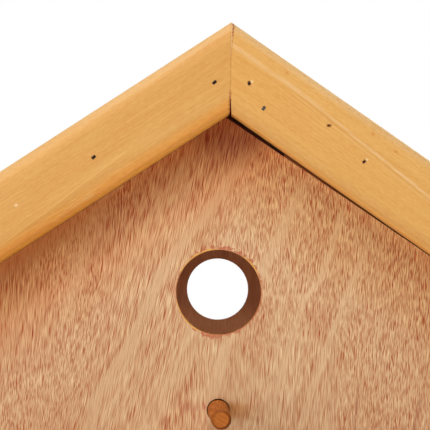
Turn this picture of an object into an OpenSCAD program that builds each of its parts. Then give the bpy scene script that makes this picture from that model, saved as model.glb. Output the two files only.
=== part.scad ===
// Bird feeder: an open-sided bird table house. Four posts stand on a rimmed tray and carry a pitched
// roof whose two plywood gables each have a round hole with a dowel perch below it.
// Millimetres. The origin is at the bottom centre, +Z is up and the front gable faces -Y.

/* [Gable] */
// Pitch of each roof slope, in degrees
pitch = 34; // [30:0.5:38]
// Depth of the round hole's centre below the tip of the bargeboards
hole_below_apex = 100.6; // [90:0.1:115]
// Diameter of the round hole in each gable
hole_d = 32; // [25:0.5:40]
// Distance of the round hole left of the ridge line
hole_shift = 2.9; // [0:0.1:6]
// Height of the gable's plumb corner above its base
panel_corner = 2.8; // [1:0.1:6]
// Thickness of the gable plywood
ply_t = 4; // [3:0.5:6]
// Distance between the outer faces of the two gables
gable_span = 260; // [220:2:320]

/* [Gable fit] */
// Gap between the bargeboards and the gable's edge where it fits well
fit_edge = 0.1; // [0.05:0.05:0.5]
// Gap between the right bargeboard and the gable's edge at the apex, where the edge was cut short
fit_short = 1.5; // [0.2:0.1:2]
// Distance from the ridge line to where the gap at the right bargeboard has closed
fit_short_w = 90; // [60:5:120]

/* [Perch] */
// Depth of the perch below the round hole, centre to centre
perch_below_hole = 44.2; // [36:0.1:55]
// Height of the perch above the gable's base
perch_above_base = 14; // [11:0.5:18]
// Distance of the perch left of the ridge line
perch_shift = 2.3; // [0:0.1:6]
// Diameter of the perch dowel
perch_d = 8; // [6:0.5:10]
// Diameter of the perch at its worn outer end
perch_tip_d = 7.1; // [5:0.1:8]
// Length of perch that stands out of the gable
perch_out = 43; // [30:1:60]
// Depth of the perch's socket in the tie beam
perch_socket = 15; // [10:0.5:17]
// Width of the chamfer round the perch's end
perch_chamfer = 0.9; // [0.5:0.1:2]
// Lean of the perch to the right, in degrees
perch_lean = 1.3; // [0:0.1:1.5]
// Radial clearance of the perch in its socket
socket_fit = 0.05; // [0.02:0.01:0.1]
// Radial clearance round the perch where it passes the plywood
perch_slack = 0.35; // [0.35:0.05:0.8]
// Drop of the perch within its hole in the plywood
perch_drop = 0.15; // [0:0.05:0.2]

/* [Bargeboards] */
// Face width of a bargeboard
barge_w = 28; // [24:0.5:34]
// Distance that a bargeboard stands out in front of the plywood
barge_proud = 12; // [8:0.5:18]
// Width of the rounding along each front edge of a bargeboard, across its face
round_w = 6; // [2:0.5:9]
// Depth of that rounding
round_d = 3; // [2:0.5:6]
// Width of the open mitre at its foot, on the right board
mitre_open = 0.6; // [0.1:0.1:1]
// Height over which the mitre is open
mitre_open_h = 6.5; // [3:0.5:12]

/* [Roof] */
// Thickness of the roof boards
roof_board_t = 8; // [6:0.5:10]
// Number of boards on each slope
roof_rows = 4; // [3:1:5]
// Gap between two roof boards
roof_gap = 0.6; // [0.3:0.1:1.5]
// Distance that the roof reaches out past the frame at each eave
eaves_overhang = 45; // [35:1:60]
// Thickness of the rafters and tie beams, front to back
frame_t = 20; // [18:0.5:26]
// Depth of a rafter, square to the slope
rafter_d = 30; // [28:0.5:36]
// Height of the tie beams
tie_h = 24; // [22:0.5:25]
// Width of the ridge beam
ridge_w = 42; // [36:1:46]
// Height of the ridge beam
ridge_h = 40; // [38:0.5:46]
// Width of the eaves beams
eaves_w = 20; // [18:1:24]

/* [Posts and tray] */
// Side of the square posts
post_w = 20; // [18:1:24]
// Height of the posts between the tray floor and the gable's base
post_h = 150; // [120:5:200]
// Thickness of the tray floor
floor_t = 9; // [9:0.5:12]
// Thickness of the tray rims
rim_t = 12; // [9:0.5:14]
// Height of the tray rims
rim_h = 40; // [34:1:50]
// Diameter of the drain holes
drain_d = 6; // [4:0.5:8]
// Distance from a post to the centre of the nearest drain hole
drain_off = 12; // [9:1:20]

/* [Bearers and mounting] */
// Width of a bearer
bearer_w = 30; // [24:1:40]
// Height of a bearer
bearer_h = 20; // [18:1:28]
// Distance that a bearer's end lies in from the edge of the floor
bearer_inset = 10; // [0:1:30]
// Spacing of the mounting holes along the bearers
mount_x = 140; // [100:5:160]
// Spacing of the mounting holes across the bearers
mount_y = 140; // [100:5:150]
// Diameter of the mounting holes
mount_d = 3.5; // [3:0.1:4.5]
// Depth of the mounting holes
mount_depth = 16; // [12:0.5:17]

/* [Brads and screws] */
// Length of a brad's head
brad_head_l = 1.6; // [1.4:0.1:2.2]
// Width of a brad's head
brad_head_w = 1; // [0.9:0.1:1.3]
// Thickness of a brad's head
brad_head_t = 0.8; // [0.6:0.1:1]
// Side of a brad's square shank
brad_shank = 0.9; // [0.7:0.1:0.9]
// Depth that a brad's head is sunk below the wood's face
brad_sunk = 0.5; // [0.3:0.1:1]
// Length of the brads in bargeboards, roof boards and rims
brad_l = 25; // [22:0.5:28]
// Length of the pins along the base of each gable
pin_l = 16; // [14:0.5:20]
// Length of the nails that join the frame
frame_nail_l = 50; // [40:1:55]
// Clearance round brads and screws
nail_fit = 0.05; // [0.02:0.01:0.1]
// Diameter of a screw's shank
screw_d = 4; // [3.5:0.25:4.5]
// Diameter of a screw's countersunk head
screw_head_d = 8; // [7:0.25:9]
// Depth of a screw's countersunk head
screw_head_h = 2.4; // [2:0.1:3]
// Length of the screws in the posts
screw_l = 45; // [40:1:50]
// Length of the screws in the bearers
bearer_screw_l = 25; // [22:1:26]

/* [Hidden] */
$fn = 64;
FRONT = "front";
REAR = "rear";
LEFT = "left";
RIGHT = "right";
ENDS = [FRONT, REAR];
SIDES = [LEFT, RIGHT];
PINE = "burlywood";
HONEY_PINE = "#dca664";
DOWEL = "#be7440";
PLY = "#c99562";
STEEL = "silver";

// How far cutting shapes run past what they cut
over = 1;

// Heights
floor_top = bearer_h + floor_t;
base_z = floor_top + post_h;
perch_z = base_z + perch_above_base;
hole_z = perch_z + perch_below_hole;
apex_z = hole_z + hole_below_apex;

// Widths: the frame ends where the bargeboards come down to the gable's base
apex_h = apex_z - base_z;
frame_half = (apex_h - barge_w / cos(pitch) - panel_corner) / tan(pitch);
roof_half = frame_half + eaves_overhang;
eaves_mid = frame_half - eaves_w / 2;
post_mid = frame_half - post_w / 2;

// Planes from front to back, for the front half
face_y = -gable_span / 2;
barge_y = face_y - barge_proud;
frame_y = face_y + ply_t;
inner_y = frame_y + frame_t;
post_mid_y = frame_y + post_w / 2;

// Places down the slope, where x is measured across the roof and n is the depth under its outer face
function down_slope(x, n) = (x + n * sin(pitch)) / cos(pitch);
function roof_z(x, n) = apex_z - x * tan(pitch) - n / cos(pitch);
eaves_s = down_slope(eaves_mid, roof_board_t);
slope_end = down_slope(roof_half, barge_w);

// The last roof board starts just above the eaves beam, and the others share the rest
eave_lap = 9;
row_w = (eaves_s - eave_lap) / (roof_rows - 1);
function row_edge(i, n) =
    i == 0 ? down_slope(0, n)
    : i == roof_rows ? down_slope(roof_half, n)
    : i * row_w;

// Brads in the bargeboards: distance from the apex, depth under the top edge and turn of the head.
// The first ones of the front boards lie where the photograph shows them.
barge_brads_shown = [
    [FRONT, LEFT, 17.7, 15.7, -6],
    [FRONT, LEFT, 70.3, 14.7, -9],
    [FRONT, RIGHT, 18.7, 15.2, 130],
    [FRONT, RIGHT, 28.4, 19.7, 93],
    [FRONT, RIGHT, 51.9, 11.1, 38],
    [FRONT, RIGHT, 70.2, 14.6, 79],
    [REAR, LEFT, 20, 15, 12],
    [REAR, LEFT, 72, 14, 75],
    [REAR, RIGHT, 19, 15, 40],
    [REAR, RIGHT, 74, 16, 5]
];
brads_far_start = 76;
brads_far_count = 3;
brad_far_n = 14;
brad_far_turn = 30;

// Places of the other fixings
ridge_brad_s = 12;
ridge_brad_y = [-105, -35, 40, 95];
row_brad_inset = 14;
eaves_brad_y = [-60, 0, 60];
roof_brad_back = 6;
skew_brad_back = 10;
skew_brad_start = 12;
skew_brad_turn = 65;
skew_brad_sunk = 1;
eaves_nail_off = 5.5;
eaves_nail_rise = 10;
pin_rise = 5;
pin_edge = 15;
pins_a_side = 3;
rim_brad_count = 4;
rim_brad_edge = 30;
rim_post_off = 5;
rim_post_rise = 25;
rim_stagger = 6;
bearer_screw_edge = 50;
recess_l = 4.2;
recess_w = 1;
recess_h = 1.5;
socket_end = 0.5;
perch_straight = 5;

// Placing helpers: shapes are made for the front right quarter and turned to their own
module at_end(end) mirror([0, end == REAR ? 1 : 0, 0]) children();

module at_side(side) mirror([side == LEFT ? 1 : 0, 0, 0]) children();

// Extrudes an outline drawn in x and z from y0 to y1
module across(y0, y1) translate([0, y1, 0]) rotate([90, 0, 0]) linear_extrude(y1 - y0) children();

// Frame of the right slope: x runs down it, z stands out of it and z = 0 is the roof's outer face
module on_slope() translate([0, 0, apex_z]) rotate([0, pitch, 0]) children();

// A box between two corners
module block(low, high) translate(low) cube(high - low);

// A brad that points down, under a face at z = 0. A hole for one has a clearance and an open top.
module brad(length, fit = 0, open = 0) {
    wide = [brad_head_l + 2 * fit, brad_head_w + 2 * fit, brad_head_t + fit + open];
    translate([-wide.x / 2, -wide.y / 2, -brad_sunk - brad_head_t - fit]) cube(wide);
    thin = brad_shank + 2 * fit;
    translate([-thin / 2, -thin / 2, -length - fit]) cube([thin, thin, length - brad_sunk]);
}

module brad_or_hole(length, hole) {
    if (hole) brad(length, nail_fit, brad_sunk + over);
    else brad(length);
}

// A countersunk screw that points down, with its head flush with a face at z = 0
module screw_shape(length, fit = 0) {
    translate([0, 0, -length - fit]) cylinder(d = screw_d + 2 * fit, h = length - screw_head_h + 2 * fit);
    translate([0, 0, -screw_head_h])
        cylinder(d1 = screw_d + 2 * fit, d2 = screw_head_d + 2 * fit, h = screw_head_h);
    if (fit > 0) cylinder(d = screw_head_d + 2 * fit, h = over);
}

module screw_or_hole(length, hole) {
    if (hole) screw_shape(length, nail_fit);
    else difference() {
        screw_shape(length);
        for (turn = [0, 90])
            rotate(turn) block([-recess_l / 2, -recess_w / 2, -recess_h], [recess_l / 2, recess_w / 2, over]);
    }
}

// Fixings. Each module draws one group, or with hole = true the holes that it needs in the wood.
module barge_brad(s, n, turn, hole)
    on_slope() translate([s, barge_y, -n]) rotate([90, 0, 0]) rotate(turn) brad_or_hole(brad_l, hole);

module barge_brads(end, side, hole = false) {
    far_step = (eaves_s - brads_far_start) / brads_far_count;
    at_end(end) at_side(side) {
        for (b = barge_brads_shown)
            if (b[0] == end && b[1] == side) barge_brad(b[2], b[3], b[4], hole);
        for (i = [1 : brads_far_count])
            barge_brad(brads_far_start + i * far_step, brad_far_n, brad_far_turn * i, hole);
    }
}

module gable_pins(end, hole = false) {
    step = (frame_half - pin_edge) / pins_a_side;
    at_end(end)
        for (side = SIDES) at_side(side) for (i = [1 : pins_a_side])
            translate([i * step, face_y, base_z + pin_rise])
                rotate([90, 0, 0]) brad_or_hole(pin_l, hole);
}

module roof_brad(s, y, hole) on_slope() translate([s, y, 0]) rotate(90) brad_or_hole(brad_l, hole);

module roof_brads(side, hole = false) {
    rafter_y = inner_y - roof_brad_back;
    at_side(side) {
        for (y = ridge_brad_y) roof_brad(ridge_brad_s, side == LEFT ? y : -y, hole);
        for (y = eaves_brad_y) roof_brad(eaves_s, y, hole);
        for (y = [rafter_y, -rafter_y]) {
            roof_brad(eaves_s, y, hole);
            for (i = [1 : roof_rows - 1]) roof_brad(i * row_w - row_brad_inset, y, hole);
            for (i = [1 : roof_rows - 2]) roof_brad(i * row_w + row_brad_inset, y, hole);
        }
    }
}

// Skew brads through the tops of the rafters into the ridge beam, and nails through the tie beams
// into the eaves beams
module frame_nails(hole = false)
    for (end = ENDS) at_end(end) for (side = SIDES) at_side(side) {
        on_slope() translate([
            down_slope(ridge_w / 2 + skew_brad_start, roof_board_t),
            frame_y + skew_brad_back,
            -roof_board_t - skew_brad_sunk
        ]) rotate([0, skew_brad_turn, 0]) rotate(90) brad_or_hole(brad_l, hole);
        for (off = [-eaves_nail_off, eaves_nail_off])
            translate([eaves_mid + off, frame_y, base_z + eaves_nail_rise])
                rotate([90, 0, 0]) brad_or_hole(frame_nail_l, hole);
    }

// Brads through the rims into the floor's edge, and one into each post from either side
module rim_row(half_l, post_x, post_rise, hole) {
    last = half_l - rim_brad_edge;
    step = 2 * last / (rim_brad_count - 1);
    for (i = [0 : rim_brad_count - 1])
        translate([-last + i * step, 0, floor_top - floor_t / 2])
            rotate([90, 0, 0]) brad_or_hole(brad_l, hole);
    for (x = [-post_x, post_x])
        translate([x, 0, floor_top + post_rise]) rotate([90, 0, 0]) brad_or_hole(brad_l, hole);
}

module rim_brads(hole = false) {
    for (end = ENDS) at_end(end)
        translate([0, frame_y - rim_t, 0])
            rim_row(frame_half, post_mid - rim_post_off, rim_post_rise, hole);
    for (side = SIDES) at_side(side)
        translate([frame_half + rim_t, 0, 0]) rotate(90)
            rim_row(-frame_y, -post_mid_y + rim_post_off, rim_post_rise - rim_stagger, hole);
}

module at_posts() for (end = ENDS) at_end(end) for (side = SIDES) at_side(side)
    translate([post_mid, post_mid_y, 0]) children();

module beam_screws(hole = false)
    at_posts() translate([0, 0, base_z + tie_h]) screw_or_hole(screw_l, hole);

module post_screws(hole = false)
    at_posts() translate([0, 0, bearer_h]) rotate([180, 0, 0]) screw_or_hole(screw_l, hole);

module bearer_screws(hole = false) {
    last = frame_half - bearer_inset - bearer_screw_edge;
    for (x = [-last, 0, last], y = [-mount_y / 2, mount_y / 2])
        translate([x, y, floor_top]) screw_or_hole(bearer_screw_l, hole);
}

// The perch's own frame: x and y are across it, and z points out of the gable
module on_perch(end) at_end(end) translate([-perch_shift, face_y, perch_z - perch_drop])
    rotate([90, 0, perch_lean]) children();

module perch(end) color(DOWEL) on_perch(end) {
    back = ply_t + perch_socket;
    taper_h = perch_out - perch_straight - perch_chamfer;
    translate([0, 0, -back]) cylinder(d = perch_d, h = back + perch_straight);
    translate([0, 0, perch_straight]) cylinder(d1 = perch_d, d2 = perch_tip_d, h = taper_h);
    translate([0, 0, perch_out - perch_chamfer])
        cylinder(d1 = perch_tip_d, d2 = perch_tip_d - 2 * perch_chamfer, h = perch_chamfer);
}

// Gable of thin plywood, cut to fit under the bargeboards, a little short on the right of the apex
module gable_panel(end) {
    edge_z = roof_z(0, barge_w + fit_edge);
    short_z = roof_z(0, barge_w + fit_short);
    closed_z = roof_z(fit_short_w, barge_w + fit_edge);
    corner_z = roof_z(frame_half, barge_w + fit_edge);
    short_fall = (short_z - closed_z) / fit_short_w;
    tip_x = (short_z - edge_z) / (tan(pitch) + short_fall);
    color(PLY) difference() {
        at_end(end) across(face_y, frame_y) polygon([
            [-frame_half, base_z],
            [frame_half, base_z],
            [frame_half, corner_z],
            [fit_short_w, closed_z],
            [tip_x, edge_z + tip_x * tan(pitch)],
            [-frame_half, corner_z]
        ]);
        at_end(end) {
            translate([-hole_shift, face_y - over, hole_z])
                rotate([-90, 0, 0]) cylinder(d = hole_d, h = ply_t + 2 * over);
            translate([-perch_shift, face_y - over, perch_z])
                rotate([-90, 0, 0]) cylinder(d = perch_d + 2 * perch_slack, h = ply_t + 2 * over);
        }
        gable_pins(end, true);
    }
}

// Section of a bargeboard, in y and depth: square at the back and rounded along both front edges
module barge_section() {
    back = frame_y - barge_y;
    translate([barge_y, -barge_w]) difference() {
        square([back, barge_w]);
        for (top = [0, 1]) translate([0, top * barge_w]) mirror([0, top]) difference() {
            translate([-over, -over]) square([round_d + over, round_w + over]);
            translate([round_d, round_w]) scale([round_d / round_w, 1]) circle(round_w);
        }
    }
}

// Bargeboard with a mitre at the ridge and a plumb end at the eave
module bargeboard(end, side) {
    mitre_foot_z = apex_z - barge_w / cos(pitch);
    open = side == RIGHT ? mitre_open : 0;
    low_z = roof_z(roof_half, barge_w) - over;
    color(HONEY_PINE) difference() {
        at_end(end) at_side(side) intersection() {
            on_slope() translate([-barge_w, 0, 0]) rotate([90, 0, 90])
                linear_extrude(slope_end + 2 * barge_w) barge_section();
            across(barge_y - over, frame_y + over) polygon([
                [0, apex_z + over],
                [0, mitre_foot_z + mitre_open_h],
                [open, mitre_foot_z],
                [open, low_z],
                [roof_half, low_z],
                [roof_half, apex_z + over]
            ]);
        }
        barge_brads(end, side, true);
    }
}

// Rafter behind the gable's edge, from the side of the ridge beam down to the tie beam. Its foot is
// cut level on the tie beam and plumb with the frame.
module rafter(end, side) color(PINE) difference() {
    top_x = ridge_w / 2;
    at_end(end) at_side(side) across(frame_y, inner_y) difference() {
        polygon([
            [top_x, roof_z(top_x, roof_board_t)],
            [frame_half, roof_z(frame_half, roof_board_t)],
            [frame_half, roof_z(frame_half, roof_board_t + rafter_d)],
            [top_x, roof_z(top_x, roof_board_t + rafter_d)]
        ]);
        translate([0, base_z - apex_h]) square([frame_half + over, apex_h + tie_h]);
    }
    barge_brads(end, side, true);
    roof_brads(side, true);
    frame_nails(true);
}

// Tie beam on top of two posts, with the perch's socket
module tie_beam(end) color(PINE) difference() {
    at_end(end) block([-frame_half, frame_y, base_z], [frame_half, inner_y, base_z + tie_h]);
    on_perch(end) translate([0, 0, -ply_t - perch_socket - socket_end])
        cylinder(r = perch_d / 2 + socket_fit, h = ply_t + perch_socket + over);
    gable_pins(end, true);
    for (side = SIDES) roof_brads(side, true);
    frame_nails(true);
    beam_screws(true);
}

// Ridge beam between the bargeboards, with a top bevelled to both slopes
module ridge_beam() color(PINE) difference() {
    half = ridge_w / 2;
    top = roof_z(0, roof_board_t);
    across(frame_y, -frame_y) polygon([
        [-half, top - ridge_h],
        [half, top - ridge_h],
        [half, roof_z(half, roof_board_t)],
        [0, top],
        [-half, roof_z(half, roof_board_t)]
    ]);
    for (side = SIDES) {
        for (end = ENDS) barge_brads(end, side, true);
        roof_brads(side, true);
    }
    frame_nails(true);
}

// Eaves beam between the tie beams, bevelled to the slope
module eaves_beam(side) color(PINE) difference() {
    at_side(side) across(inner_y, -inner_y) polygon([
        [frame_half - eaves_w, base_z],
        [frame_half, base_z],
        [frame_half, roof_z(frame_half, roof_board_t)],
        [frame_half - eaves_w, roof_z(frame_half - eaves_w, roof_board_t)]
    ]);
    roof_brads(side, true);
    frame_nails(true);
}

// One board of a slope, counted down from the ridge
module roof_board(side, row) {
    up_gap = row == 1 ? 0 : roof_gap / 2;
    low_gap = row == roof_rows ? 0 : roof_gap / 2;
    t = roof_board_t;
    color(PINE) difference() {
        at_side(side) on_slope() across(frame_y, -frame_y) polygon([
            [row_edge(row - 1, 0) + up_gap, 0],
            [row_edge(row, 0) - low_gap, 0],
            [row_edge(row, t) - low_gap, -t],
            [row_edge(row - 1, t) + up_gap, -t]
        ]);
        roof_brads(side, true);
    }
}

module post(end, side) color(PINE) difference() {
    at_end(end) at_side(side) block(
        [frame_half - post_w, frame_y, floor_top],
        [frame_half, frame_y + post_w, base_z]
    );
    rim_brads(true);
    beam_screws(true);
    post_screws(true);
}

module tray_floor() color(PLY) difference() {
    block([-frame_half, frame_y, bearer_h], [frame_half, -frame_y, floor_top]);
    for (end = ENDS) at_end(end) for (side = SIDES) at_side(side)
        translate([frame_half - post_w - drain_off, frame_y + drain_off, bearer_h - over])
            cylinder(d = drain_d, h = floor_t + 2 * over);
    rim_brads(true);
    post_screws(true);
    bearer_screws(true);
}

// Front or rear rim, over the ends of the side rims
module tray_rim_end(end) color(PINE) difference() {
    half = frame_half + rim_t;
    at_end(end) block([-half, frame_y - rim_t, bearer_h], [half, frame_y, bearer_h + rim_h]);
    rim_brads(true);
}

module tray_rim_side(side) color(PINE) difference() {
    at_side(side) block([frame_half, frame_y, bearer_h], [frame_half + rim_t, -frame_y, bearer_h + rim_h]);
    rim_brads(true);
}

// Bearer under the tray, with pilot holes for the screws of a post plate or bracket
module bearer(end) color(PINE) difference() {
    half = frame_half - bearer_inset;
    at_end(end) translate([0, -mount_y / 2, 0])
        block([-half, -bearer_w / 2, 0], [half, bearer_w / 2, bearer_h]);
    at_end(end) for (x = [-mount_x / 2, mount_x / 2])
        translate([x, -mount_y / 2, -over]) cylinder(d = mount_d, h = mount_depth + over);
    bearer_screws(true);
}

for (e = ENDS) gable_panel(e);
for (e = ENDS) perch(e);
for (e = ENDS) for (s = SIDES) bargeboard(e, s);
for (e = ENDS) for (s = SIDES) rafter(e, s);
for (e = ENDS) tie_beam(e);
ridge_beam();
for (s = SIDES) eaves_beam(s);
for (s = SIDES) for (i = [1 : roof_rows])
    roof_board(s, i);
for (e = ENDS) for (s = SIDES) post(e, s);
tray_floor();
for (e = ENDS) tray_rim_end(e);
for (s = SIDES) tray_rim_side(s);
for (e = ENDS) bearer(e);
for (e = ENDS) color(STEEL) for (s = SIDES) barge_brads(e, s);
for (e = ENDS) color(STEEL) gable_pins(e);
for (s = SIDES) color(STEEL) roof_brads(s);
color(STEEL) frame_nails();
color(STEEL) rim_brads();
color(STEEL) beam_screws();
color(STEEL) post_screws();
color(STEEL) bearer_screws();
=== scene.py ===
"""Looks of the bird feeder: materials, fine detail, light and camera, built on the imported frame.

Blender objects are in metres in the part's own frame. The material code works in millimetres.
"""

import math
import random

import bpy
from mathutils import Matrix, Vector

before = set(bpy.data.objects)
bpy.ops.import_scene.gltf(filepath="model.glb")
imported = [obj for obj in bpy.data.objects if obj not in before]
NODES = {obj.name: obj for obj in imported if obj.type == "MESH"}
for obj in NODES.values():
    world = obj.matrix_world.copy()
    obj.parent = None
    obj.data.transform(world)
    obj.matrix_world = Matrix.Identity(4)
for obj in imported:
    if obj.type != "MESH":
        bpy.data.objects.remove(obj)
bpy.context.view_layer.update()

MM = 0.001
PITCH = math.radians(34)
APEX_Z = 337.8
FACE_Y = -130.0
PLY = 4.0
RAFTER_FACE = -FACE_Y - PLY
MITRE_FOOT_Z = 304.03
HOLE = (-2.9, 237.2)
HOLE_R = 16.0
PERCH = (-2.3, 193.0)
PERCH_LENGTH = 43.0
PERCH_DROP = 0.15
PERCH_LEAN = 0.0227


def linear(r, g, b):
    """A colour given as the 0 to 255 numbers that a picture shows, as the shader wants it."""
    def one(v):
        v /= 255.0
        return v / 12.92 if v <= 0.04045 else ((v + 0.055) / 1.055) ** 2.4
    return (one(r), one(g), one(b), 1.0)


# Shader graphs are written as sums of sockets. Num wraps a number socket of a graph.
class Num:
    def __init__(self, graph, socket):
        self.graph = graph
        self.socket = socket

    def _op(self, kind, *others):
        return self.graph.math(kind, self, *others)

    def __add__(self, other):
        return self._op("ADD", other)

    __radd__ = __add__

    def __sub__(self, other):
        return self._op("SUBTRACT", other)

    def __rsub__(self, other):
        return self.graph.math("SUBTRACT", other, self)

    def __mul__(self, other):
        return self._op("MULTIPLY", other)

    __rmul__ = __mul__

    def __truediv__(self, other):
        return self._op("DIVIDE", other)

    def __neg__(self):
        return self * -1.0


class Graph:
    """A material and the few kinds of node that these woods and metals need."""

    def __init__(self, name):
        self.mat = bpy.data.materials.new(name)
        self.mat.use_nodes = True
        self.tree = self.mat.node_tree
        self.tree.nodes.clear()
        self.out = self.node("ShaderNodeOutputMaterial")
        self.shader = self.node("ShaderNodeBsdfPrincipled")
        self.link(self.shader.outputs[0], self.out.inputs["Surface"])
        self.place = None

    def node(self, kind, **settings):
        made = self.tree.nodes.new(kind)
        for key, value in settings.items():
            setattr(made, key, value)
        return made

    def link(self, source, target):
        self.tree.links.new(source, target)

    def feed(self, target, value):
        if isinstance(value, Num):
            self.link(value.socket, target)
        elif isinstance(value, bpy.types.NodeSocket):
            self.link(value, target)
        else:
            target.default_value = value

    def math(self, kind, *values):
        made = self.node("ShaderNodeMath", operation=kind)
        for target, value in zip(made.inputs, values):
            self.feed(target, value)
        return Num(self, made.outputs[0])

    def position(self):
        """The point on the object in millimetres, as three numbers."""
        if self.place is None:
            coords = self.node("ShaderNodeTexCoord")
            parts = self.node("ShaderNodeSeparateXYZ")
            self.link(coords.outputs["Object"], parts.inputs[0])
            self.place = [Num(self, s) * (1.0 / MM) for s in parts.outputs]
        return self.place

    def normal(self):
        """The face's own direction, as three numbers."""
        geometry = self.node("ShaderNodeNewGeometry")
        parts = self.node("ShaderNodeSeparateXYZ")
        self.link(geometry.outputs["True Normal"], parts.inputs[0])
        return [Num(self, s) for s in parts.outputs]

    def vector(self, x, y, z):
        made = self.node("ShaderNodeCombineXYZ")
        for target, value in zip(made.inputs, (x, y, z)):
            self.feed(target, value)
        return made.outputs[0]

    def noise(self, x, y, z=0.0, detail=2.0, rough=0.5):
        """Noise from 0 to 1. x, y and z are in units of its main period."""
        made = self.node("ShaderNodeTexNoise", noise_dimensions="3D")
        self.link(self.vector(x, y, z), made.inputs["Vector"])
        made.inputs["Scale"].default_value = 1.0
        made.inputs["Detail"].default_value = detail
        made.inputs["Roughness"].default_value = rough
        return Num(self, made.outputs["Fac"])

    def marks(self, x, y, wide, long, shift):
        """Separate long marks scattered in narrow columns, each of its own strength, 0 to 1."""
        across = x / wide + shift
        slide = self.node("ShaderNodeTexWhiteNoise", noise_dimensions="1D")
        self.feed(slide.inputs["W"], self.math("FLOOR", across))
        made = self.node("ShaderNodeTexVoronoi", voronoi_dimensions="2D", feature="F1")
        along = y / long + Num(self, slide.outputs["Value"]) * 9.0
        self.link(self.vector(across, along, 0.0), made.inputs["Vector"])
        made.inputs["Scale"].default_value = 1.0
        near = self.ramp(Num(self, made.outputs["Distance"]), 0.14, 0.38, 1.0, 0.0)
        return near * self.ramp(Num(self, made.outputs["Color"]), 0.3, 0.7, 0.3, 1.0)

    def ramp(self, value, low, high, start=0.0, end=1.0, smooth=True):
        """Goes from start to end as value goes from low to high."""
        made = self.node("ShaderNodeMapRange", interpolation_type="SMOOTHSTEP" if smooth else "LINEAR")
        for key, item in (("Value", value), ("From Min", low), ("From Max", high),
                          ("To Min", start), ("To Max", end)):
            self.feed(made.inputs[key], item)
        return Num(self, made.outputs["Result"])

    def band(self, value, centre, half, soft):
        """1 within half of centre, falling to 0 over soft on either side."""
        off = self.math("ABSOLUTE", value - centre)
        return self.ramp(off, half, half + soft, 1.0, 0.0)

    def mix(self, amount, low, high, kind="MIX"):
        made = self.node("ShaderNodeMix", data_type="RGBA", blend_type=kind)
        self.feed(made.inputs["Factor"], amount)
        self.feed(made.inputs[6], low)
        self.feed(made.inputs[7], high)
        return made.outputs[2]

    def shade(self, colour, amount, reach):
        """Darkens a colour where amount is over 0 and lightens it under 0, by reach in each channel."""
        return self.times(colour, *(1.0 - amount * part for part in reach))

    def times(self, colour, red, green, blue):
        return self.mix(1.0, colour, self.vector(red, green, blue), kind="MULTIPLY")

    def finish(self, colour, rough, height=None, depth=0.1, gloss=0.5):
        """Sets the shader. height is in millimetres times depth."""
        self.feed(self.shader.inputs["Base Color"], colour)
        self.feed(self.shader.inputs["Roughness"], rough)
        self.shader.inputs["Specular IOR Level"].default_value = gloss
        if height is not None:
            bump = self.node("ShaderNodeBump")
            bump.inputs["Strength"].default_value = 1.0
            bump.inputs["Distance"].default_value = depth * MM
            self.feed(bump.inputs["Height"], height)
            self.link(bump.outputs[0], self.shader.inputs["Normal"])
        return self.mat


# Directions in which the pieces' grain runs. Each gives the distance along the grain and the two
# across it, in millimetres, from a point or from a face's direction.
def on_slope(side):
    c, s = math.cos(PITCH), math.sin(PITCH)
    def axes(x, y, z, is_point):
        z = z - APEX_Z if is_point else z
        x = -x if side == "left" else x
        return x * c - z * s, -(x * s) - z * c, y
    return axes


def across_slope(side):
    down = on_slope(side)
    def axes(x, y, z, is_point):
        s, n, y = down(x, y, z, is_point)
        return y, s, n
    return axes


def along_x(x, y, z, is_point):
    return x, z, y


def along_y(x, y, z, is_point):
    return y, x, z


def along_z(x, y, z, is_point):
    return z, x, y


def grain_axes(g, axes):
    return axes(*g.position(), True), axes(*g.normal(), False)


def growth_rings(g, a, b, c, rnd, spacing, wander, knots):
    """Latewood lines, 0 to 1, of a board sawn from a log with its pith beside or under the board."""
    seed = rnd.uniform(0, 90)
    for ka, kb, size in knots:
        da, db = a - ka, b - kb
        near = g.math("EXPONENT", -(da * da * (0.12 / size ** 2) + db * db * (0.25 / size ** 2)))
        side = g.ramp(b - kb, -size, size, -1.0, 1.0)
        b = b + near * side * (size * 1.5)
    pith_b = rnd.uniform(-45, 45)
    pith_c = rnd.choice((-1, 1)) * rnd.uniform(30, 70)
    wave_b = (g.noise(a / 170.0 + seed, b / 60.0, c / 60.0, detail=1.0) - 0.5) * wander
    wave_c = (g.noise(a / 210.0 + seed, b / 70.0 + 7.0, c / 60.0, detail=1.0) - 0.5) * wander
    db = b - pith_b + wave_b
    dc = c - pith_c + wave_c
    radius = g.math("SQRT", db * db + dc * dc) + (g.noise(a / 24.0 + seed, b / 6.0, c / 6.0) - 0.5) * 1.0
    turns = radius / spacing + g.noise(radius / 13.0 + seed, 0.0) * 1.6
    part = g.math("FRACT", turns)
    late = g.ramp(part, 0.3, 0.88) * g.ramp(part, 0.9, 1.0, 1.0, 0.0)
    return late * g.ramp(g.noise(radius / 7.0, a / 300.0, seed), 0.3, 0.7, 0.45, 1.0)


def fibres(g, a, b, c, seed, length=22.0, width=0.45):
    return g.noise(a / length + seed, b / width, c / width, detail=2.0, rough=0.6)


PINE_PALE = (230, 182, 116)
PINE_DARK = (203, 139, 72)


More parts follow.
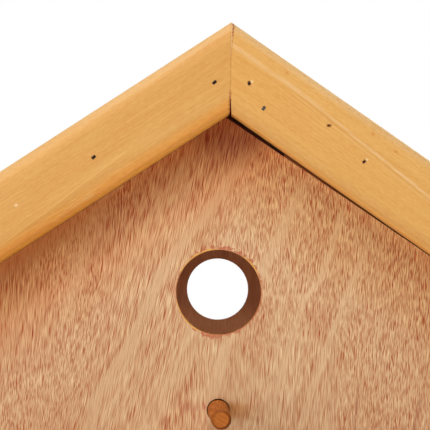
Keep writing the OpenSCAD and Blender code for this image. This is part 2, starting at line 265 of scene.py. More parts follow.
def pine(name, axes, seed, spacing=2.9, contrast=1.0, knots=(), rough=0.5,
         end_pale=(205, 150, 88), end_dark=(150, 92, 44), painted_slot_tint=False):
    """Planed pine with growth rings, fine fibres, slow colour drift and darker end grain."""
    rnd = random.Random(seed)
    g = Graph(name)
    (a, b, c), (na, _, nc) = grain_axes(g, axes)
    shift = rnd.uniform(0, 50)
    late = growth_rings(g, a, b, c, rnd, spacing, 16.0, knots)
    fine = fibres(g, a, b, c, shift)
    streak = g.noise(a / 90.0 + shift, b / 3.2, c / 3.2, detail=2.0)
    drift = g.noise(a / 140.0 + shift, b / 45.0, c / 45.0, detail=1.0)
    tone = late * (0.62 * contrast) + (streak - 0.5) * 0.5 + (fine - 0.5) * 0.4 + (drift - 0.5) * 0.35 + 0.16
    colour = g.mix(g.ramp(tone, 0.0, 1.0, smooth=False), linear(*PINE_PALE), linear(*PINE_DARK))
    for ka, kb, size in knots:
        da = (a - ka) / 1.25
        db = b - kb
        off = g.math("SQRT", da * da + db * db) + (g.noise(a / 3.0, b / 3.0, shift) - 0.5) * (0.5 * size)
        colour = g.mix(g.ramp(off, size * 0.7, size * 1.5, 0.75, 0.0), colour, linear(150, 84, 38))
        colour = g.mix(g.band(off, size * 0.95, 0.15, 0.6) * 0.8, colour, linear(84, 42, 18))
    end = g.ramp(g.math("ABSOLUTE", na), 0.7, 0.9)
    pores = g.noise(b / 0.5, c / 0.5, shift, detail=3.0)
    end_tone = g.mix(late * 0.55 + (pores - 0.5) * 0.6 + 0.15, linear(*end_pale), linear(*end_dark))
    colour = g.mix(end, colour, end_tone)
    if painted_slot_tint:
        # Painted shade tint: the rafters' faces just behind the gable, seen in shade through the slot, are
        # coloured red
        outer = g.ramp(g.math("ABSOLUTE", c), RAFTER_FACE - 0.4, RAFTER_FACE - 0.1)
        outer = outer * g.ramp(g.math("ABSOLUTE", nc), 0.8, 0.9)
        colour = g.mix(outer, colour, linear(240, 128, 70))
    gloss = g.ramp(fine, 0.3, 0.7, rough - 0.06, rough + 0.1) + end * 0.2
    height = fine * 0.6 + late * 0.35 + pores * end * 0.8
    return g.finish(colour, gloss, height, depth=0.12, gloss=0.35)


# Colours of a bargeboard by depth under its top edge: a paler band along the planed top edge that is a
# painted sheen, the honey stain on the flat, and over the rounded lower edge and its lip deeper and brighter
# oranges, painted light and shade
LEFT_STAIN_AND_LIGHT = ((212, 165, 103), (217, 159, 85), (246, 163, 66), (255, 186, 80))
RIGHT_STAIN_AND_LIGHT = ((232, 187, 124), (224, 166, 88), (217, 156, 78), (232, 167, 83))

# Brads in the front bargeboards: distance from the apex, depth under the top edge, turn in degrees,
# and whether the wood chipped pale beside the head
BOARD_BRADS = {"left": ((17.7, 15.7, -6, False), (70.3, 14.7, -9, False)),
               "right": ((18.7, 15.2, 130, True), (28.4, 19.7, 93, False),
                         (51.9, 11.1, 38, False), (70.2, 14.6, 79, True))}


def board_stain_and_light(g, depth, stain_and_light):
    """The stain's colour by depth in millimetres under the board's top edge, with a painted sheen at the top
    and painted light and shade over the lower edge.
    """
    top, flat, low, lit_lip = (linear(*part) for part in stain_and_light)
    colour = g.mix(g.ramp(depth, 0.0, 4.0), top, flat)
    colour = g.mix(g.ramp(depth, 22.0, 27.0), colour, low)
    return g.mix(g.ramp(depth, 27.0, 28.0), colour, lit_lip)


def barge_pine(name, side, stain_and_light, seed, marks):
    """Stained pine of a bargeboard, nearly straight in the grain, with painted light and shade on its edges,
    at the mitre and underneath.
    """
    g = Graph(name)
    (a, b, c), (na, nb, _) = grain_axes(g, on_slope(side))
    x = g.position()[0]
    rnd = random.Random(seed)
    late = growth_rings(g, a, b, c, rnd, 3.6, 5.0, ())
    fine = fibres(g, a, b, c, seed, length=30.0, width=0.5)
    streak = g.noise(a / 85.0 + seed, b / 2.0, c / 4.0, detail=3.0, rough=0.6)
    blotch = g.noise(a / 16.0, b / 5.0, seed, detail=2.0)
    grain = g.noise(a / 2.4, b / 0.55, c / 0.55 + seed, detail=2.0, rough=0.6)
    wavy = b + (g.noise(a / 55.0, seed, b / 30.0) - 0.5) * 1.6 * g.ramp(b, 21.0, 26.0, 1.0, 0.0)
    # Stain by depth, with a painted sheen along the top edge and painted light and shade over the lower edge
    colour = board_stain_and_light(g, wavy, stain_and_light)
    tone = (streak - 0.5) * 1.0 + (fine - 0.5) * 1.1 + (grain - 0.5) * 1.3
    tone = tone + (blotch - 0.5) * 0.3 + (late - 0.3) * 0.2
    colour = g.shade(colour, tone, (0.13, 0.3, 0.65))
    seam_at = g.ramp(b, 2.0, 12.0, 0.75, 0.0, smooth=False) if name.endswith("front_right") else 0.0
    from_seam = x - seam_at + (g.noise(b / 1.6, seed) - 0.5) * 0.3
    colour = marks(g, a, b, colour, from_seam)
    end = g.ramp(g.math("ABSOLUTE", na), 0.7, 0.9)
    pores = g.noise(b / 0.5, c / 0.5, seed, detail=3.0)
    colour = g.mix(end, colour, g.mix(late * 0.5 + pores * 0.4, linear(176, 108, 52), linear(120, 62, 26)))
    broken = g.ramp(g.noise(b / 1.8, seed + 3.0), 0.4, 0.6, 0.05, 0.5)
    colour = g.mix(g.band(from_seam, 0.0, 0.05, 0.28) * broken, colour, linear(170, 84, 24))
    foot = g.ramp(b, 20.5, 22.5) * g.ramp(g.noise(b / 0.7, seed + 8.0), 0.35, 0.6)
    colour = g.mix(g.band(x, 0.0, 0.35, 0.35) * foot * 0.75, colour, linear(150, 64, 26))
    # Painted light: the mitre faces, seen in the gap at the apex, are coloured a bright orange for light
    # bounced into it
    mitre = g.ramp(g.math("ABSOLUTE", x), 3.0, 1.5) * g.ramp(na, -0.6, -0.8)
    colour = g.mix(mitre, colour, linear(236, 104, 38))
    # Painted shade: the board's underside behind the gable's face, seen in the slot, is coloured near black
    shade_behind = g.ramp(g.math("ABSOLUTE", c), -FACE_Y + 0.4, -FACE_Y - 0.2) * g.ramp(nb, 0.8, 0.95)
    colour = g.mix(shade_behind, colour, linear(44, 26, 16))
    gloss = g.ramp(fine, 0.3, 0.7, 0.36, 0.5) + end * 0.25
    return g.finish(colour, gloss, fine * 0.5 + streak * 0.5, depth=0.1, gloss=0.4)


def line_mark(g, a, b, colour, ends, half, soft, tint, amount, wobble=0.0, seed=0.0):
    """A thin mark along the grain between two points (along, across), with ragged ends."""
    (a0, b0), (a1, b1) = ends
    slope = (b1 - b0) / (a1 - a0)
    off = b - b0 - (a - a0) * slope
    if wobble:
        off = off + (g.noise(a / 18.0, seed) - 0.5) * wobble
    inside = g.band(a, (a0 + a1) / 2, (a1 - a0) / 2 - 3, 6.0)
    return g.mix(g.band(off, 0.0, half, soft) * inside * amount, colour, linear(*tint))


def spot(g, a, b, colour, place, radius, tint, amount):
    da, db = a - place[0], b - place[1]
    off = g.math("SQRT", da * da * 0.5 + db * db) + (g.noise(a / 0.7, b / 0.7, radius) - 0.5) * radius
    return g.mix(g.ramp(off, radius * 0.2, radius * 1.4, amount, 0.0), colour, linear(*tint))


def off_brad(g, a, b, brad, long, wide):
    """Distance from a brad's middle: 1 on an oval with these half axes, turned as its head is."""
    s, n, turn = brad[:3]
    ct, st = math.cos(math.radians(turn)), math.sin(math.radians(turn))
    da, db = a - s, b - n
    along, beside = (da * ct - db * st) / long, (da * st + db * ct) / wide
    return g.math("SQRT", along * along + beside * beside)


def brad_marks(g, a, b, colour, side):
    """Marks round each brad: a dark ragged edge that is painted shade round its pocket, and beside two of
    them a pale chip.
    """
    ragged = g.noise(a / 0.5, b / 0.4, 3.0)
    for brad in BOARD_BRADS[side]:
        s, n, _, is_chipped = brad
        # Painted shade round the brad's pocket, fainter on those more than 50 mm from the apex
        pocket_shade = 0.25 if s > 50.0 else 0.6
        off = off_brad(g, a, b, brad, 1.1, 0.72) + (ragged - 0.5) * 0.7
        colour = g.mix(g.ramp(off, 0.7, 1.05, pocket_shade, 0.0), colour, linear(110, 60, 28))
        if is_chipped:
            da, db = a - s - 0.4, b - n + 1.1
            chip = g.math("SQRT", da * da + db * db) + (ragged - 0.5) * 0.6
            colour = g.mix(g.ramp(chip, 0.3, 0.75, 0.75, 0.0), colour, linear(248, 214, 160))
    return colour


def left_marks(g, a, b, colour, from_seam):
    torn = g.ramp(g.noise(a / 7.0, b / 0.45, 4.0, detail=2.0), 0.5, 0.66)
    zone = g.band(b, 25.2, 0.8, 1.2) * g.band(a, 86.0, 4.0, 14.0)
    colour = g.mix(torn * zone * 0.65, colour, linear(246, 206, 140))
    colour = line_mark(g, a, b, colour, ((60, 19.5), (118, 23.5)), 0.05, 0.5, (236, 186, 112), 0.35, 0.8, 3.0)
    colour = spot(g, a, b, colour, (104.0, 14.0), 0.55, (246, 216, 172), 0.75)
    far = g.ramp(b, 19.0, 24.0) * g.ramp(a, 50.0, 100.0)
    colour = g.shade(colour, far, (0.08, 0.14, 0.28))
    return brad_marks(g, a, b, colour, "left")


def right_marks(g, a, b, colour, from_seam):
    off = b - g.ramp(a, 36.0, 160.0, 7.2, 16.2, smooth=False) + (g.noise(a / 14.0, 1.0) - 0.5) * 1.6
    broken = g.ramp(g.noise(a / 9.0, b / 0.8, 21.0), 0.35, 0.6, 0.35, 1.0) * g.ramp(a, 10.0, 80.0, 0.45, 0.75)
    soft = g.ramp(a, 20.0, 60.0, 1.4, 0.7)
    colour = g.mix(g.band(off, 0.0, 0.1, soft) * broken, colour, linear(234, 194, 142))
    colour = g.mix(g.band(off, 0.95, 0.05, 0.5) * broken * 0.25, colour, linear(198, 132, 62))
    colour = line_mark(g, a, b, colour, ((34, 9.0), (124, 15.0)), 0.05, 0.45, (232, 188, 130), 0.3, 1.2, 6.0)
    flecks = g.ramp(g.noise(a / 1.6, b / 0.45, 7.0), 0.6, 0.74) * g.ramp(b, 8.0, 5.0)
    colour = g.mix(flecks * 0.5, colour, linear(192, 112, 40))
    edge = g.ramp(g.noise(a / 0.9, (b - a * 0.3) / 0.5, 11.0), 0.5, 0.64) * g.band(b, 1.5, 0.35, 0.5)
    colour = g.mix(edge * 0.35, colour, linear(200, 112, 36))
    for place, radius in (((67.0, 4.3), 0.6), ((77.7, 4.9), 0.6), ((27.9, 4.0), 0.6)):
        colour = spot(g, a, b, colour, place, radius, (212, 122, 36), 0.6)
    # The other board's corner, standing a little over the mitre at the tip
    colour = g.mix(g.ramp(from_seam, 0.1, -0.1) * g.ramp(b, 12.0, 10.0), colour, linear(226, 180, 120))
    jag = from_seam + (g.noise(b / 0.9, 31.0) - 0.5) * 1.4
    colour = g.mix(g.band(jag, 0.0, 0.12, 0.3) * g.ramp(b, 5.5, 3.0, 0.1, 0.85), colour, linear(158, 74, 26))
    return brad_marks(g, a, b, colour, "right")


def rear_marks(g, a, b, colour, from_seam):
    return line_mark(g, a, b, colour, ((40, 9.0), (200, 15.0)), 0.2, 0.7, (238, 192, 130), 0.5, 2.0, 9.0)


# Smooth pale streaks in the front gable's veneer: half width, how far the pores are missing, how pale
# it is, and the points that it runs through from the top down, as x and height over the hole's centre
PALE_STREAKS = ((2.6, 0.95, 0.62, ((8.0, 55.0), (-3.0, 36.5), (-23.0, 10.0), (-35.0, -18.5), (-48.0, -41.0),
                                  (-52.0, -58.0))),
                (2.0, 0.85, 0.55, ((29.0, 42.0), (15.0, 11.5), (8.0, -8.0))),
                (2.6, 1.0, 1.0, ((1.0, -17.0), (-6.0, -44.0))),
                (4.5, 0.25, 0.65, ((-3.0, -18.0), (-9.0, -44.0))),
                (1.3, 0.8, 0.8, ((44.0, 32.0), (35.0, 5.0), (29.0, -2.5), (19.5, -36.0), (18.0, -52.0))),
                (1.3, 0.8, 0.8, ((53.5, 20.5), (37.5, -21.0), (28.5, -51.0))),
                (1.1, 0.4, 0.4, ((70.5, 19.0), (59.5, -5.5), (56.0, -20.5))),
                (6.0, 0.25, 0.4, ((44.0, -26.0), (34.0, -62.0))),
                (9.0, 0.0, 0.5, ((24.0, -14.0), (12.0, -60.0))))

# Dark red lines in it: two ends in the same form, half width and strength
DARK_LINES = (((50.2, -32.0), (48.3, -58.0), 0.25, 0.75), ((73.8, -37.0), (69.6, -58.0), 0.7, 0.6),
              ((60.0, -8.0), (57.0, -22.0), 0.1, 0.4), ((-60.0, -14.0), (-64.0, -34.0), 0.1, 0.35))

# Painted shadow under the left and the right bargeboard, down to this depth in millimetres, and what it
# takes of red, green and blue where it is deepest
SHADOW_DEPTH = 45.0
PAINTED_SHADOW = {"left": (0.12, 0.43, 0.65), "right": (0.12, 0.28, 0.47)}

# What else is taken: by a band of painted shadow at this depth under the left board, by painted shade in the
# corner under the mitre, at the far left, where the painted shadow is paler, and with every 40 mm further
# down
SHADOW_BAND_DEPTH = 12.0
SHADOW_BAND = (0.17, 0.18, 0.2)
CORNER_SHADE = (0.35, 0.46, 0.5)
FAR_LEFT = (-0.12, -0.16, -0.08)
DOWNWARDS = (0.08, 0.13, 0.16)

LAUAN_PALE = (222, 181, 137)
LAUAN_MID = (210, 160, 117)
LAUAN_PORE = (176, 112, 72)


def lauan_face(g, u, v, seed, longer=0.0):
    """Figure of a reddish open-pored veneer: pale ribbons, and dashes that are its pores, 1 in a pore
    and under 0 between them. u runs across the grain, v along it."""
    ribbon = g.noise((u - v * 0.24) / 13.0 + seed, v / 120.0, detail=2.0)
    length = g.noise(u / 45.0 + seed, v / 60.0 + 3.0) + longer
    lean = u + (g.noise(u / 13.0, v / 22.0, seed, detail=1.0) - 0.5) * 1.0
    share = g.ramp(length, 0.42, 0.58)
    # Where short and long marks mix, both are made stronger, so that the contrast stays the same
    lift = share * (1.0 - share) * 1.6 + 1.0
    pores = 0.0
    for i, (wide, short, long) in enumerate(((0.42, 5.0, 14.0), (0.4, 3.6, 8.5), (0.42, 6.4, 11.0))):
        layer = g.marks(lean, v, wide, short, seed + i * 3.1) * (1.0 - share)
        layer = layer + g.marks(lean, v, wide, long, seed + i * 4.3 + 1.7) * share
        layer = layer * lift
        pores = layer if i == 0 else g.math("MAXIMUM", pores, layer) + g.math("MINIMUM", pores, layer) * 0.3
    thick = g.noise(lean / 5.0, v / 16.0, seed + 6.0)
    streaks = g.noise(lean / 0.32, v / 6.2, seed + 11.0, detail=1.0)
    return ribbon, pores * g.ramp(thick, 0.35, 0.65, 1.35, 1.7) + (streaks - 0.5) * 3.8 - 0.64, lean


def under_board(x, z, side):
    """Depth under the left or the right bargeboard's lower edge, square to it."""
    outward = 1.0 if side == "right" else -1.0
    return (MITRE_FOOT_Z - z) * math.cos(PITCH) - x * (outward * math.sin(PITCH))


def painted_shadows(g, x, z, colour):
    """Painted shadow on a gable under the bargeboards, deeper in a band under the left one and paler at the
    far left, painted shade in the corner under the mitre, and slowly browner downwards.
    """
    for side, takes in PAINTED_SHADOW.items():
        colour = g.shade(colour, g.ramp(under_board(x, z, side), 2.0, SHADOW_DEPTH, 1.0, 0.0), takes)
    under_left = under_board(x, z, "left")
    colour = g.shade(colour, g.band(under_left, SHADOW_BAND_DEPTH, 2.0, 8.0), SHADOW_BAND)
    colour = g.shade(colour, g.ramp(x, -40.0, -70.0) * g.ramp(under_left, 24.0, 12.0), FAR_LEFT)
    drop = MITRE_FOOT_Z - z
    from_foot = g.math("SQRT", x * x + drop * drop)
    colour = g.shade(colour, g.ramp(from_foot, 9.0, 25.0, 1.0, 0.0), CORNER_SHADE)
    return g.shade(colour, (HOLE[1] - z) / 40.0, DOWNWARDS)


def hole_rim(g, colour, hx, v, on_face):
    """The round hole's worn edge: yellow core wood where the face veneer chipped, red torn fibres."""
    radius = g.math("SQRT", hx * hx + v * v)
    clock = g.math("ARCTAN2", hx, v) * (6.0 / math.pi)
    ragged = g.noise(hx / 0.8, v / 0.8, 2.0, detail=1.0)
    slow = g.noise(hx / 3.5, v / 3.5, 9.0, detail=1.0)
    worn = g.band(clock, -1.1, 0.7, 0.6) * 0.5 + g.band(clock, 1.6, 0.3, 0.4) * 0.4
    worn = worn + g.band(clock, -4.3, 0.6, 0.5) * 0.45
    worn = worn * g.ramp(slow, 0.4, 0.6, 0.5, 1.2) + (ragged - 0.45) * 0.4
    rim = g.ramp(radius - worn, HOLE_R - 0.02, HOLE_R + 0.16, 1.0, 0.0)
    rim = rim * g.ramp(worn, 0.0, 0.22, 0.3, 1.0) * on_face
    low = g.math("ABSOLUTE", clock)
    torn = g.band(clock, 0.6, 1.6, 0.5) + g.ramp(low, 4.6, 5.0) * g.ramp(clock, 5.0, 4.6, 0.6, 1.0) + 0.15
    reach = torn * g.ramp(g.noise(hx / 1.6, v / 1.6, 6.0, detail=2.0), 0.42, 0.66, 0.0, 1.5)
    tears = g.ramp(radius - reach, HOLE_R + 0.1, HOLE_R + 0.5, 1.0, 0.0) * on_face
    colour = g.mix(tears * 0.75, colour, linear(190, 92, 60))
    return g.mix(rim * 0.9, colour, linear(228, 166, 78))


def ply_edge(g, core, grain, veneer, wood):
    """A plywood edge: two tones of wood where core is 1, and two of veneer and glue elsewhere."""
    pair = [g.mix(grain, *(linear(*tone) for tone in tones)) for tones in (veneer, wood)]
    return g.mix(core, *pair)


def gable_veneer(name, end):
    """Gable plywood: veneer outside with painted shadow under the bargeboards and beside the perch, layered
    edges, darker smooth veneer inside with painted light under the hole, and a worn rim.
    """
    g = Graph(name)
    x, y, z = g.position()
    ny = g.normal()[1]
    is_front = end == "front"
    front = -1.0 if is_front else 1.0
    depth = -FACE_Y - y * front
    hx, v = x - HOLE[0], z - HOLE[1]
    across = x if is_front else x * 0.93 + 11.0
    slant = g.band(across - v * 0.24, -26.0, 8.0, 26.0) * 0.13 + 0.045
    longer = g.ramp(v, -12.0, -30.0) * g.band(x, 5.0, 30.0, 14.0) * 0.2 - g.ramp(x, 36.0, 52.0) * 0.2
    ribbon, dash, lean = lauan_face(g, across - v * slant, v, 2.0 if is_front else 8.0, longer)
    pale = g.ramp(ribbon, 0.5, 0.68, 0.0, 0.55)
    smooth = pale
    for half, closed, paler, points in PALE_STREAKS if is_front else ():
        centre, top = points[0]
        for (x0, v0), (x1, v1) in zip(points, points[1:]):
            centre = g.ramp(v, v0, v1, 0.0, x1 - x0, smooth=False) + centre
        frayed = (g.noise(v / 12.0, top) - 0.5) * 1.2 + (g.noise(x / 1.2, v / 6.0, top) - 0.5) * 1.6
        wide = g.band(x - centre + frayed, 0.0, half * 0.55, half * 0.8)
        ends = g.ramp(v, top + 2.0, top - 4.0) * g.ramp(v, points[-1][1] - 4.0, points[-1][1] + 3.0)
        smooth = g.math("MAXIMUM", smooth, wide * ends * closed)
        pale = g.math("MAXIMUM", pale, wide * ends * paler)
    rich = g.ramp(g.noise(lean / 16.0, v / 50.0, 5.0), 0.42, 0.7)
    colour = g.mix(pale, g.mix(rich * 0.6, linear(*LAUAN_MID), linear(203, 149, 104)), linear(*LAUAN_PALE))
    below_boards = MITRE_FOOT_Z - z - g.math("ABSOLUTE", x) * math.tan(PITCH)
    strong = g.ramp(below_boards, 8.0, 28.0, 1.35, 1.0)
    calm = g.ramp(x, -46.0, -64.0) * g.ramp(under_board(x, z, "left"), 8.0, 5.0) if is_front else 0.0
    colour = g.shade(colour, dash * strong * (1.0 - smooth * 0.8) * (1.0 - calm * 0.65), (0.22, 0.52, 0.64))
    deep = g.ramp(g.noise(lean / 0.5, v / 5.5, 12.0), 0.6, 0.74) * (1.0 - smooth)
    colour = g.mix(deep * 0.4, colour, linear(*LAUAN_PORE))
    for (x0, v0), (x1, v1), half, strength in DARK_LINES if is_front else ():
        t = (v - v0) / (v1 - v0)
        off = x - t * (x1 - x0) - x0 + (g.noise(v / 5.0, x0) - 0.5) * 0.9
        torn = g.ramp(g.noise(x / 0.5, v / 3.0, x0), 0.35, 0.6, 0.4, 1.0)
        line = g.band(off, 0.0, half * 0.5, half + 0.3) * g.band(t, 0.5, 0.38, 0.14)
        colour = g.mix(line * torn * strength, colour, linear(164, 90, 58))
    # Painted shadow under the bargeboards and painted shade in the corner under the mitre
    colour = painted_shadows(g, x, z, colour)
    if is_front:
        px, pz = x - PERCH[0], z - PERCH[1]
        # Painted shadow of the perch, on the gable to its right
        perch_shadow = g.ramp(px, 4.0, 19.0, 1.0, 0.0) * g.ramp(px, 2.0, 4.0) * g.band(pz + px * 0.06, 0.4, 1.2, 3.2)
        colour = g.shade(colour, perch_shadow, (0.13, 0.38, 0.62))
        # A darker patch left of the perch
        dark_left_of_perch = g.band(px, -11.0, 2.0, 5.0) * g.band(pz, 1.6, 0.6, 2.6)
        colour = g.shade(colour, dark_left_of_perch, (0.06, 0.17, 0.18))
        tear = g.band(px, -5.3, 0.2, 0.9) * g.band(pz, 1.4, 0.5, 1.6)
        ragged = g.ramp(g.noise(x / 0.7, z / 1.4, 4.0), 0.35, 0.6)
        colour = g.mix(tear * ragged * 0.7, colour, linear(184, 82, 50))

    # Layers of the edge: face veneer, yellow core with a glue line on either side, back veneer
    wob = (g.noise(x / 6.0, z / 6.0, y / 2.0) - 0.5) * 0.3
    core = g.band(depth + wob, PLY / 2, 1.2, 0.15)
    edge_grain = g.noise(x / 1.2, z / 1.2, y / 0.5, detail=3.0)
    edge = ply_edge(g, core, edge_grain, ((196, 120, 70), (150, 82, 46)), ((236, 176, 92), (205, 132, 60)))
    colour = g.mix(g.ramp(g.math("ABSOLUTE", ny), 0.96, 0.9), colour, edge)

    # Inner face, a darker smooth veneer, with painted light that makes it paler under the round hole
    inner = g.noise(hx / 7.0, z / 60.0, 3.0, detail=3.0)
    painted_light_below = g.ramp(v, -4.0, -19.0) * g.ramp(g.math("ABSOLUTE", hx), 30.0, 12.0) * g.ramp(v, -40.0, -26.0)
    inner_colour = g.mix(g.ramp(inner, 0.3, 0.7), linear(172, 112, 76), linear(194, 136, 100))
    inner_colour = g.mix(painted_light_below, inner_colour, linear(225, 167, 124))
    inner_colour = g.shade(inner_colour, g.noise(x / 0.5, z / 6.0, 15.0, detail=2.0) - 0.5, (0.5, 0.7, 0.8))
    colour = g.mix(g.ramp(ny * front, -0.9, -0.95), colour, inner_colour)

    colour = hole_rim(g, colour, hx, v, g.ramp(ny * front, 0.5, 0.7))
    return g.finish(colour, g.ramp(dash, 0.0, 1.0, 0.55, 0.75), 0.5 - dash * 0.5, depth=0.06, gloss=0.3)


def floor_veneer(name):
    """Plywood of the tray floor, in three layers of 3 mm."""
    g = Graph(name)
    x, y, z = g.position()
    nz = g.normal()[2]
    u = y + (g.noise(x / 90.0, y / 30.0) - 0.5) * 8.0
    ribbon, dash, _ = lauan_face(g, u, x, 15.0)
    base = g.mix(g.ramp(ribbon, 0.35, 0.65), linear(202, 148, 104), linear(219, 171, 126))
    colour = g.shade(base, dash, (0.18, 0.36, 0.46))
    ply = g.band(g.math("FRACT", (z - 20.0) / 3.0), 0.5, 0.28, 0.06)
    grain = g.noise(x / 1.3, y / 1.3, z / 0.5, detail=3.0)
    edge = ply_edge(g, ply, grain, ((190, 120, 72), (150, 86, 48)), ((230, 178, 104), (200, 136, 70)))
    colour = g.mix(g.ramp(g.math("ABSOLUTE", nz), 0.95, 0.9), colour, edge)
    return g.finish(colour, g.ramp(dash, 0.0, 1.0, 0.5, 0.75), 0.5 - dash * 0.5, depth=0.06, gloss=0.3)


def dowel(name, end):
    """Stained dowel with dark streaks along it, rings on its end and a darker rim round the end."""
    g = Graph(name)
    x, y, z = g.position()
    ny = g.normal()[1]
    front = -1.0 if end == "front" else 1.0
    cx = x - PERCH[0] + (y * front + FACE_Y) * -PERCH_LEAN
    cz = z - PERCH[1] + PERCH_DROP
    radius = g.math("SQRT", cx * cx + cz * cz)
    streak = g.noise(y / 16.0, cx / 0.55, cz / 0.55, detail=3.0, rough=0.6)
    drift = g.noise(y / 30.0, cx / 4.0, cz / 4.0)
    colour = g.mix(g.ramp(streak, 0.3, 0.7), linear(180, 104, 24), linear(134, 64, 12))
    colour = g.mix(g.ramp(drift, 0.4, 0.7, 0.0, 0.5), colour, linear(152, 74, 18))
    ring = g.math("FRACT", (cx * 0.6 + cz + (g.noise(cx / 3.0, cz / 3.0, 4.0) - 0.5) * 2.0) / 1.6)
    pores = g.noise(cx / 0.4, cz / 0.4, 1.0, detail=3.0)
    end_tone = g.ramp(ring, 0.2, 0.9) * 0.25 + (pores - 0.5) * 1.4 + 0.35
    end_colour = g.mix(end_tone, linear(202, 118, 46), linear(140, 68, 20))
    colour = g.mix(g.ramp(g.math("ABSOLUTE", ny), 0.8, 0.95), colour, end_colour)
    rim = g.band(y * front, -FACE_Y + PERCH_LENGTH - 0.6, 0.5, 0.5) * g.ramp(radius, 2.3, 2.9)
    colour = g.mix(rim * 0.5, colour, linear(122, 58, 20))
    return g.finish(colour, g.ramp(streak, 0.3, 0.7, 0.5, 0.65), streak, depth=0.1, gloss=0.15)


def steel(name, pale, dark, rough):
    """Wire or zinc-plated steel, cloudy and finely scratched."""
    g = Graph(name)
    x, y, z = g.position()
    cloud = g.noise(x / 2.5, y / 2.5, z / 2.5, detail=3.0)
    scratch = g.noise(x / 0.3, y / 0.3, z / 1.5, detail=2.0)
    colour = g.mix(g.ramp(cloud, 0.3, 0.7), linear(*pale), linear(*dark))
    g.shader.inputs["Metallic"].default_value = 1.0
    return g.finish(colour, g.ramp(scratch, 0.3, 0.7, rough - 0.08, rough + 0.12), scratch, depth=0.03)


def brad_head(name):
    """Dark heads in the bargeboards' pockets, one of them, on the front right board, of bare metal."""
    g = Graph(name)
    a, b, c = on_slope("right")(*g.position(), True)
    cloud = g.noise(a / 0.5, b / 0.5, c / 0.5, detail=2.0)
    on_front = g.ramp(c, -100.0, -110.0)
    bare = g.band(a, BOARD_BRADS["right"][1][0], 1.5, 0.5) * on_front
    colour = g.mix(g.ramp(cloud, 0.35, 0.65), linear(62, 36, 26), linear(30, 16, 12))
    colour = g.mix(bare, colour, linear(96, 90, 88))
    # Fibres that closed over parts of three of the heads
    for i, long, wide in ((0, 0.6, 0.5), (2, 0.42, 0.3), (3, 0.58, 0.38)):
        brad = BOARD_BRADS["right"][i]
        off = off_brad(g, a, b, brad, long, wide) + (cloud - 0.5) * 0.5
        near = g.ramp(g.math("ABSOLUTE", a - brad[0]), 2.0, 1.5) * on_front
        colour = g.mix(g.ramp(off, 0.95, 1.15) * near, colour, linear(214, 146, 72))
    g.feed(g.shader.inputs["Metallic"], bare * 0.8 + 0.1)
    return g.finish(colour, g.ramp(cloud, 0.3, 0.7, 0.45, 0.6), cloud, depth=0.05, gloss=0.25)


def set_material(node, material):
    mesh = NODES[node].data
    mesh.materials.clear()
    mesh.materials.append(material)


# Knots in the roof boards, by side and row: place across and down the slope, and size
ROOF_KNOTS = {("left", 2): ((-52.0, 108.0, 4.2),), ("left", 4): ((60.0, 236.0, 3.4),),
              ("right", 1): ((38.0, 30.0, 3.0),), ("right", 3): ((-78.0, 170.0, 4.6), (30.0, 158.0, 2.4))}


def dress_nodes():
    brad = steel("brad_steel", (92, 88, 86), (48, 42, 40), 0.45)
    heads = brad_head("brad_heads")
    screw = steel("screw_zinc", (214, 208, 188), (168, 162, 146), 0.35)
    for end in ("front", "rear"):
        set_material("gable_panel_" + end, gable_veneer("veneer_" + end, end))
        set_material("perch_" + end, dowel("dowel_" + end, end))
        set_material("tie_beam_" + end, pine("tie_beam_pine_" + end, along_x, 11 if end == "front" else 12))
        knot = (70.0, 46.0, 3.2) if end == "front" else (-40.0, 40.0, 2.6)
        rim = pine("rim_pine_" + end, along_x, 21 if end == "front" else 22, knots=(knot,))
        set_material("tray_rim_" + end, rim)
        bearer = pine("bearer_pine_" + end, along_x, 31 if end == "front" else 32, rough=0.58)
        set_material("bearer_" + end, bearer)
        set_material("bargeboard_brads_" + end, heads)
        set_material("gable_pins_" + end, brad)
        for side in ("left", "right"):
            name = end + "_" + side
            # Stain colours of the bargeboards, with their painted sheen and painted light and shade
            stain_and_light = LEFT_STAIN_AND_LIGHT if name == "front_left" else RIGHT_STAIN_AND_LIGHT
            marks = {"front_left": left_marks, "front_right": right_marks}.get(name, rear_marks)
            seed = {"front_left": 3, "front_right": 5, "rear_left": 9, "rear_right": 14}[name]
            set_material("bargeboard_" + name, barge_pine("barge_pine_" + name, side, stain_and_light, seed, marks))
            # The rafters get a red painted tint for the shade in the slot
            rafter = pine("rafter_pine_" + name, on_slope(side), 40 + seed, rough=0.58, painted_slot_tint=True)
            set_material("rafter_" + name, rafter)
            set_material("post_" + name, pine("post_pine_" + name, along_z, 60 + seed))
    # Painted shade: the ridge beam's end grain, seen through the slot at the apex, is coloured a near-black
    # red
    set_material("ridge_beam", pine("ridge_pine", along_y, 71, end_pale=(104, 44, 26), end_dark=(70, 26, 14)))
    for side in ("left", "right"):
        set_material("eaves_beam_" + side, pine("eaves_pine_" + side, along_y, 72 if side == "left" else 73))
        set_material("tray_rim_" + side, pine("rim_pine_" + side, along_y, 23 if side == "left" else 24))
        set_material("roof_brads_" + side, brad)
        for row in range(1, 5):
            seed = 80 + row + (10 if side == "right" else 0)
            set_material(f"roof_board_{side}_{row}",
                         pine(f"roof_pine_{side}_{row}", across_slope(side), seed, spacing=3.4, contrast=1.1,
                              knots=ROOF_KNOTS.get((side, row), ())))
    set_material("tray_floor", floor_veneer("veneer_floor"))
    for node in ("frame_nails", "rim_brads"):
        set_material(node, brad)
    for node in ("beam_screws", "post_screws", "bearer_screws"):
        set_material(node, screw)


SANDED = ("ridge", "eaves", "tie_beam", "roof_board", "post_f", "post_r", "tray", "bearer_f", "bearer_r")


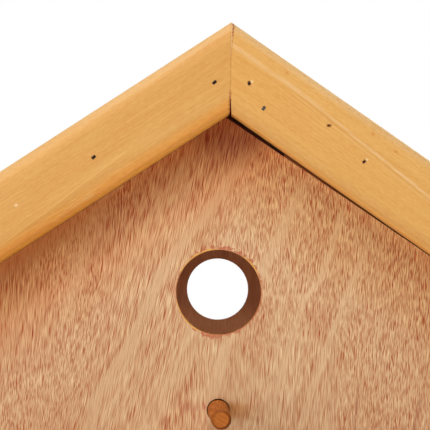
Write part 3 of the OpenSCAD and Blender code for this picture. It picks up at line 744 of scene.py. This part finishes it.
def soften_edges():
    """A sanded arris on the boards, posts and beams that can be seen, but not on the rounded bargeboards."""
    for name, obj in NODES.items():
        if not name.startswith(SANDED):
            continue
        weld = obj.modifiers.new("weld", "WELD")
        weld.merge_threshold = 0.01 * MM
        flat = obj.modifiers.new("flat", "DECIMATE")
        flat.decimate_type = "DISSOLVE"
        flat.angle_limit = math.radians(1)
        arris = obj.modifiers.new("arris", "BEVEL")
        arris.width = (0.5 if name == "tray_floor" else 0.8) * MM
        arris.segments = 2
        arris.limit_method = "ANGLE"
        arris.angle_limit = math.radians(50)
        arris.harden_normals = True


dress_nodes()
soften_edges()


# Camera: at the photograph's viewing angle, a little above the hole, looking slightly up. The focal
# length is in pixels of the picture, the angles are in degrees and the place is in millimetres
PICTURE = 430.0
FOCAL = 1734.0
SENSOR = 36.0
TILT = 2.184
ROLL = 1.032
PAN = 0.025
CAMERA_AT = (-4.54, -782.0, 241.31)


def aim_camera():
    data = bpy.data.cameras.new("camera")
    camera = bpy.data.objects.new("camera", data)
    bpy.context.scene.collection.objects.link(camera)
    data.sensor_fit = "HORIZONTAL"
    data.sensor_width = SENSOR
    data.lens = FOCAL / PICTURE * SENSOR
    data.clip_start = 0.01
    data.clip_end = 50.0
    turn = Matrix.Rotation(math.radians(PAN), 3, "Z")
    turn = turn @ Matrix.Rotation(math.pi / 2 + math.radians(TILT), 3, "X")
    turn = turn @ Matrix.Rotation(math.radians(ROLL), 3, "Z")
    camera.matrix_world = Matrix.Translation([part * MM for part in CAMERA_AT]) @ turn.to_4x4()
    bpy.context.scene.camera = camera


def white_world(ambient):
    """White to the camera and in gloss, softer to what it lights."""
    world = bpy.data.worlds.new("studio")
    bpy.context.scene.world = world
    world.use_nodes = True
    tree = world.node_tree
    tree.nodes.clear()
    out = tree.nodes.new("ShaderNodeOutputWorld")
    mix = tree.nodes.new("ShaderNodeMixShader")
    tree.links.new(mix.outputs[0], out.inputs["Surface"])
    for i, strength in ((1, ambient), (2, 1.0)):
        sky = tree.nodes.new("ShaderNodeBackground")
        sky.inputs["Color"].default_value = (1, 1, 1, 1)
        sky.inputs["Strength"].default_value = strength
        tree.links.new(sky.outputs[0], mix.inputs[i])
    path = tree.nodes.new("ShaderNodeLightPath")
    shown = path.outputs["Is Camera Ray"]
    for ray in ("Is Glossy Ray", "Is Transmission Ray"):
        either = tree.nodes.new("ShaderNodeMath")
        either.operation = "MAXIMUM"
        tree.links.new(shown, either.inputs[0])
        tree.links.new(path.outputs[ray], either.inputs[1])
        shown = either.outputs[0]
    tree.links.new(shown, mix.inputs[0])


def area_light(name, place, target, size, watts):
    data = bpy.data.lights.new(name, "AREA")
    data.shape = "DISK"
    data.size = size
    data.energy = watts
    lamp = bpy.data.objects.new(name, data)
    bpy.context.scene.collection.objects.link(lamp)
    lamp.location = place
    lamp.rotation_euler = (Vector(target) - Vector(place)).to_track_quat("-Z", "Y").to_euler()


def floor():
    """Pale floor that keeps the object's shadow and, further out, shows the white background."""
    mesh = bpy.data.meshes.new("floor")
    mesh.from_pydata([(-2, -2, 0), (2, -2, 0), (2, 2, 0), (-2, 2, 0)], [], [(0, 1, 2, 3)])
    obj = bpy.data.objects.new("floor", mesh)
    bpy.context.scene.collection.objects.link(obj)
    g = Graph("floor_white")
    x, y = g.position()[:2]
    away = g.ramp(g.math("SQRT", x * x + y * y), 330.0, 900.0)
    path = g.node("ShaderNodeLightPath").outputs
    shown = g.math("MAXIMUM", path["Is Camera Ray"], path["Is Glossy Ray"])
    shown = g.math("MAXIMUM", shown, path["Is Transmission Ray"])
    g.feed(g.shader.inputs["Alpha"], 1.0 - shown * away)
    obj.data.materials.append(g.finish((0.93, 0.93, 0.93, 1), 0.8))


aim_camera()
white_world(0.06)
area_light("key", (-0.11, -0.9, 1.69), (0, -0.13, 0.3), 1.3, 20.5)
area_light("left", (-1.2, -1.14, 0.54), (0, -0.13, 0.24), 1.2, 14)
area_light("back", (1.2, 1.6, 1.2), (0, 0.1, 0.2), 1.2, 18)
floor()
bpy.context.scene.view_settings.view_transform = "Standard"
